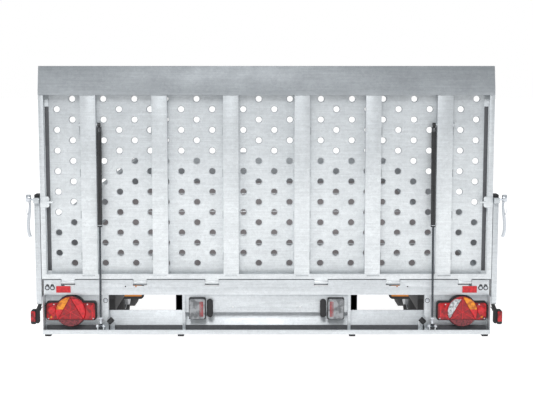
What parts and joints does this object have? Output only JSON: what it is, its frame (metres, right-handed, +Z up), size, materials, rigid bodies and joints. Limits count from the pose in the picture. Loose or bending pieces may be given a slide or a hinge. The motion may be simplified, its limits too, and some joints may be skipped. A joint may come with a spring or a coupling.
{
  "type": "flatbed trailer with rear loading ramp",
  "caption": "Flatbed livestock and plant trailer with a full-width perforated rear ramp on gas struts, low side walls, tandem under-bed wheels and a V drawbar.",
  "frame": {"origin": "on the ground under the middle of the whole trailer, ramp closed", "axes": "+Z up, +Y towards the drawbar, +X to the right seen from behind"},
  "size_m": [2.214, 5.92, 1.59],
  "materials": {
    "galvanised_steel": "hot-dip galvanised",
    "zinc_plated_steel": "bright zinc plate",
    "plywood": "phenolic film face",
    "black_coated_steel": "black coated",
    "moulded_rubber": "matt moulded",
    "black_plastic": "matt moulded",
    "red_lens": "moulded lens",
    "clear_lens": "moulded lens",
    "cast_iron": "zinc coated casting",
    "strut_black": "black enamel",
    "strut_chrome": "hard-chromed rod",
    "tyre_rubber": "treaded tyre",
    "wheel_steel": "silver enamel",
    "jockey_rubber": "solid rubber"
  },
  "bodies": {
    "chassis": {"side_rails": "galvanised_steel", "cross_members": "galvanised_steel", "floor_panel": "plywood", "side_walls": "galvanised_steel", "headboard": "galvanised_steel", "main_rails": "black_coated_steel", "rear_hinge_beam": "galvanised_steel", "lower_rear_beam": "galvanised_steel", "rear_uprights": "galvanised_steel", "centre_panel": "galvanised_steel", "corner_posts": "galvanised_steel", "post_caps": "moulded_rubber", "rubber_buffers": "moulded_rubber", "lamp_housings": "black_plastic", "lamp_lenses": "red_lens", "reversing_lamps": "clear_lens", "reflectors": "red_lens", "marker_lamps": "red_lens", "marker_leads": "moulded_rubber", "latch_blocks": "galvanised_steel", "pivot_pins": "zinc_plated_steel", "axle_tubes": "galvanised_steel", "mudguards": "black_plastic", "splash_guards": "black_plastic", "drawbar_arms": "galvanised_steel", "overrun_housing": "cast_iron", "gaiter": "moulded_rubber", "jockey_clamp": "galvanised_steel"},
    "ramp": {"ramp_sheet": "galvanised_steel", "ramp_frame": "galvanised_steel", "ramp_ribs": "galvanised_steel", "toe_flap": "galvanised_steel", "latch_keepers": "galvanised_steel"},
    "coupling": {"drawtube": "zinc_plated_steel", "coupling_head": "cast_iron"},
    "coupling_handle": {"coupling_handle": "zinc_plated_steel"},
    "handbrake": {"handbrake_lever": "zinc_plated_steel"},
    "jockey_tube": {"jockey_tube": "galvanised_steel"},
    "jockey_crank": {"jockey_crank": "zinc_plated_steel"},
    "jockey_inner": {"jockey_inner": "galvanised_steel"},
    "jockey_fork": {"jockey_fork": "galvanised_steel"},
    "jockey_wheel": {"jockey_wheel": "jockey_rubber"},
    "latch_left": {"latch_lever_left": "zinc_plated_steel"},
    "strut_rod_left": {"strut_rod_left": "strut_chrome"},
    "strut_cylinder_left": {"strut_cylinder_left": "strut_black"},
    "latch_right": {"latch_lever_right": "zinc_plated_steel"},
    "strut_rod_right": {"strut_rod_right": "strut_chrome"},
    "strut_cylinder_right": {"strut_cylinder_right": "strut_black"},
    "swing_arm_rear_left": {"swing_arm_rear_left": "black_coated_steel"},
    "wheel_rear_left": {"wheel_rear_left": "wheel_steel", "tyre_rear_left": "tyre_rubber"},
    "swing_arm_rear_right": {"swing_arm_rear_right": "black_coated_steel"},
    "wheel_rear_right": {"wheel_rear_right": "wheel_steel", "tyre_rear_right": "tyre_rubber"},
    "swing_arm_front_left": {"swing_arm_front_left": "black_coated_steel"},
    "wheel_front_left": {"wheel_front_left": "wheel_steel", "tyre_front_left": "tyre_rubber"},
    "swing_arm_front_right": {"swing_arm_front_right": "black_coated_steel"},
    "wheel_front_right": {"wheel_front_right": "wheel_steel", "tyre_front_right": "tyre_rubber"}
  },
  "joints": [
    {"name": "ramp_hinge", "type": "hinge", "parent": "chassis", "child": "ramp", "pos_m": [0, -2.904, 0.588], "axis": [1, 0, 0], "range_deg": [0, 126.8]},
    {"name": "latch_left_turn", "type": "hinge", "parent": "chassis", "child": "latch_left", "pos_m": [-1.074, -2.922, 0.978], "axis": [1, 0, 0], "range_deg": [-110, 0]},
    {"name": "strut_left_pivot", "type": "hinge", "parent": "chassis", "child": "strut_rod_left", "pos_m": [-0.77, -2.946, 0.389], "axis": [1, 0, 0], "range_deg": [0, 117.15]},
    {"name": "strut_left_slide", "type": "slide", "parent": "strut_rod_left", "child": "strut_cylinder_left", "axis": [0, 0.0524, 0.9986], "range_m": [-0.3382, 0]},
    {"name": "latch_right_turn", "type": "hinge", "parent": "chassis", "child": "latch_right", "pos_m": [1.074, -2.922, 0.978], "axis": [1, 0, 0], "range_deg": [-110, 0]},
    {"name": "strut_right_pivot", "type": "hinge", "parent": "chassis", "child": "strut_rod_right", "pos_m": [0.77, -2.946, 0.389], "axis": [1, 0, 0], "range_deg": [0, 117.15]},
    {"name": "strut_right_slide", "type": "slide", "parent": "strut_rod_right", "child": "strut_cylinder_right", "axis": [0, 0.0524, 0.9986], "range_m": [-0.3382, 0]},
    {"name": "suspension_rear_left", "type": "hinge", "parent": "chassis", "child": "swing_arm_rear_left", "pos_m": [-0.806, -1.072, 0.283], "axis": [1, 0, 0], "range_deg": [-16, 8], "stiffness_Nm_per_rad": 3500, "springref_deg": 3.84},
    {"name": "wheel_rear_left_roll", "type": "hinge", "parent": "swing_arm_rear_left", "child": "wheel_rear_left", "pos_m": [-0.93, -1.212, 0.233], "axis": [1, 0, 0], "continuous": true},
    {"name": "suspension_rear_right", "type": "hinge", "parent": "chassis", "child": "swing_arm_rear_right", "pos_m": [0.806, -1.072, 0.283], "axis": [1, 0, 0], "range_deg": [-16, 8], "stiffness_Nm_per_rad": 3500, "springref_deg": 3.84},
    {"name": "wheel_rear_right_roll", "type": "hinge", "parent": "swing_arm_rear_right", "child": "wheel_rear_right", "pos_m": [0.93, -1.212, 0.233], "axis": [1, 0, 0], "continuous": true},
    {"name": "suspension_front_left", "type": "hinge", "parent": "chassis", "child": "swing_arm_front_left", "pos_m": [-0.806, -0.452, 0.283], "axis": [1, 0, 0], "range_deg": [-16, 8], "stiffness_Nm_per_rad": 3500, "springref_deg": 3.84},
    {"name": "wheel_front_left_roll", "type": "hinge", "parent": "swing_arm_front_left", "child": "wheel_front_left", "pos_m": [-0.93, -0.592, 0.233], "axis": [1, 0, 0], "continuous": true},
    {"name": "suspension_front_right", "type": "hinge", "parent": "chassis", "child": "swing_arm_front_right", "pos_m": [0.806, -0.452, 0.283], "axis": [1, 0, 0], "range_deg": [-16, 8], "stiffness_Nm_per_rad": 3500, "springref_deg": 3.84},
    {"name": "wheel_front_right_roll", "type": "hinge", "parent": "swing_arm_front_right", "child": "wheel_front_right", "pos_m": [0.93, -0.592, 0.233], "axis": [1, 0, 0], "continuous": true},
    {"name": "overrun_slide", "type": "slide", "parent": "chassis", "child": "coupling", "axis": [0, 1, 0], "range_m": [-0.08, 0]},
    {"name": "coupling_handle_lift", "type": "hinge", "parent": "coupling", "child": "coupling_handle", "pos_m": [0, 2.868, 0.504], "axis": [1, 0, 0], "range_deg": [0, 30]},
    {"name": "handbrake_pull", "type": "hinge", "parent": "chassis", "child": "handbrake", "pos_m": [0.05, 2.52, 0.52], "axis": [1, 0, 0], "range_deg": [0, 60]},
    {"name": "jockey_stow", "type": "slide", "parent": "chassis", "child": "jockey_tube", "axis": [0, 0, 1], "range_m": [0, 0.11]},
    {"name": "jockey_screw", "type": "slide", "parent": "jockey_tube", "child": "jockey_inner", "axis": [0, 0, 1], "range_m": [0, 0.08]},
    {"name": "jockey_crank_turn", "type": "hinge", "parent": "jockey_tube", "child": "jockey_crank", "pos_m": [-0.186, 2.298, 0.78], "axis": [0, 0, 1], "range_deg": [0, 3601]},
    {"name": "jockey_swivel", "type": "hinge", "parent": "jockey_inner", "child": "jockey_fork", "pos_m": [-0.186, 2.298, 0.2], "axis": [0, 0, 1], "continuous": true},
    {"name": "jockey_roll", "type": "hinge", "parent": "jockey_fork", "child": "jockey_wheel", "pos_m": [-0.186, 2.268, 0.1], "axis": [1, 0, 0], "continuous": true}
  ],
  "couplings": [
    {"joint": "strut_left_pivot", "follows": "ramp_hinge", "ratio": 0.91602},
    {"joint": "strut_left_slide", "follows": "ramp_hinge", "m_per_rad": -0.15192},
    {"joint": "strut_right_pivot", "follows": "ramp_hinge", "ratio": 0.91602},
    {"joint": "strut_right_slide", "follows": "ramp_hinge", "m_per_rad": -0.15192},
    {"joint": "jockey_crank_turn", "follows": "jockey_screw", "rad_per_m": 785.4}
  ]
}
